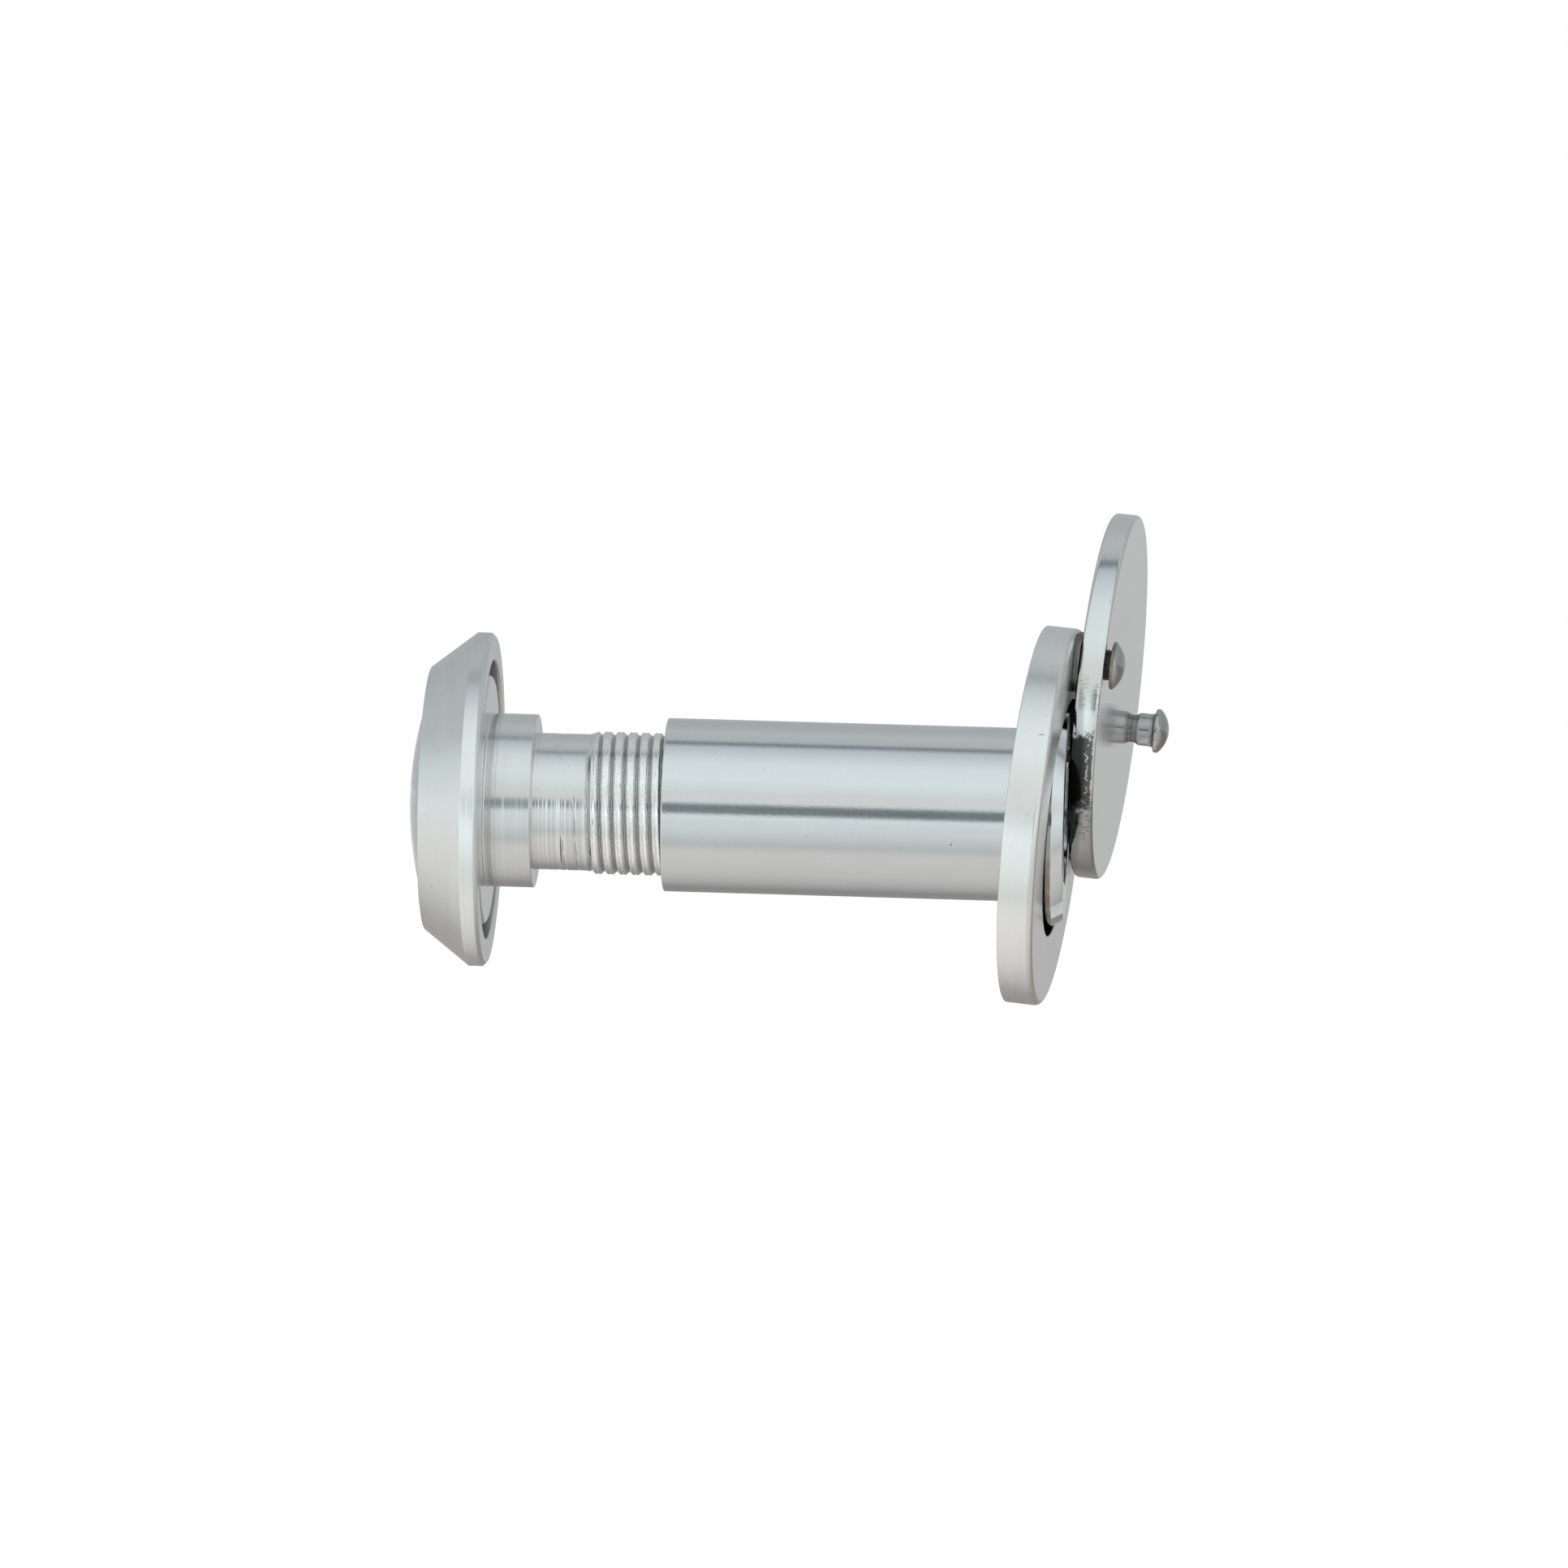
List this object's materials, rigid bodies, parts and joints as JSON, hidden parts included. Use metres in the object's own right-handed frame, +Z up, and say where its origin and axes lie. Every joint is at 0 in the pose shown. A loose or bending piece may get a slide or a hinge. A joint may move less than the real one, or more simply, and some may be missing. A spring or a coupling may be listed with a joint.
{
  "type": "door viewer",
  "caption": "Through-door peephole viewer: bevelled lens head on a threaded tube, sleeve with coin slots, round rosette and a riveted swivel cover with a knob.",
  "frame": {"origin": "on the barrel's axis, in the plane where the bezel's back meets the outside of the door", "axes": "+X along the barrel towards the room, +Z up, -Y towards the camera of the picture"},
  "size_m": [0.0596, 0.0401, 0.0394],
  "materials": {
    "bezel_plate": "satin nickel plate over turned metal",
    "tube_metal": "bright turned metal with fine tool marks",
    "sleeve_plate": "polished nickel plate",
    "disc_plate": "polished nickel plate with worn edges",
    "stud_plate": "polished nickel plate on small turned studs",
    "lens_glass": "clear optical glass",
    "black_plastic": "matt black moulded plastic",
    "gasket_fibre": "dark rubber"
  },
  "bodies": {
    "outer_unit": {"bezel_ring": "bezel_plate", "objective_lens": "lens_glass", "lens_gasket": "gasket_fibre", "outer_tube": "tube_metal", "second_lens": "lens_glass", "lens_spacer": "black_plastic", "third_lens": "lens_glass", "lens_retaining_ring": "tube_metal"},
    "eyepiece": {"eyepiece_lens": "lens_glass", "eyepiece_ring": "black_plastic"},
    "sleeve": {"sleeve": "sleeve_plate"},
    "rosette": {"rosette": "disc_plate", "pivot_washer": "stud_plate", "pivot_rivet": "stud_plate"},
    "cover": {"cover": "disc_plate", "cover_knob": "stud_plate"}
  },
  "joints": [
    {"name": "screw_travel", "type": "slide", "parent": "outer_unit", "child": "eyepiece", "axis": [1, 0, 0], "range_m": [-0.01, 0.0115]},
    {"name": "screw_turn", "type": "hinge", "parent": "eyepiece", "child": "sleeve", "pos_m": [0, 0, 0], "axis": [1, 0, 0], "range_deg": [-3600, 4140]},
    {"name": "rosette_lean", "type": "hinge", "parent": "eyepiece", "child": "rosette", "pos_m": [0.0444, 0.00608, 0.00629], "axis": [0, 0.7193, -0.6947], "range_deg": [-6.5, 3.12]},
    {"name": "cover_swing", "type": "hinge", "parent": "rosette", "child": "cover", "pos_m": [0.04638, -0.00182, 0.01227], "axis": [0.9936, -0.0786, -0.0814], "range_deg": [-71, 34]}
  ],
  "couplings": [
    {"joint": "screw_turn", "follows": "screw_travel", "rad_per_m": 6283.2},
    {"joint": "rosette_lean", "follows": "cover_swing", "ratio": 0.09154}
  ]
}
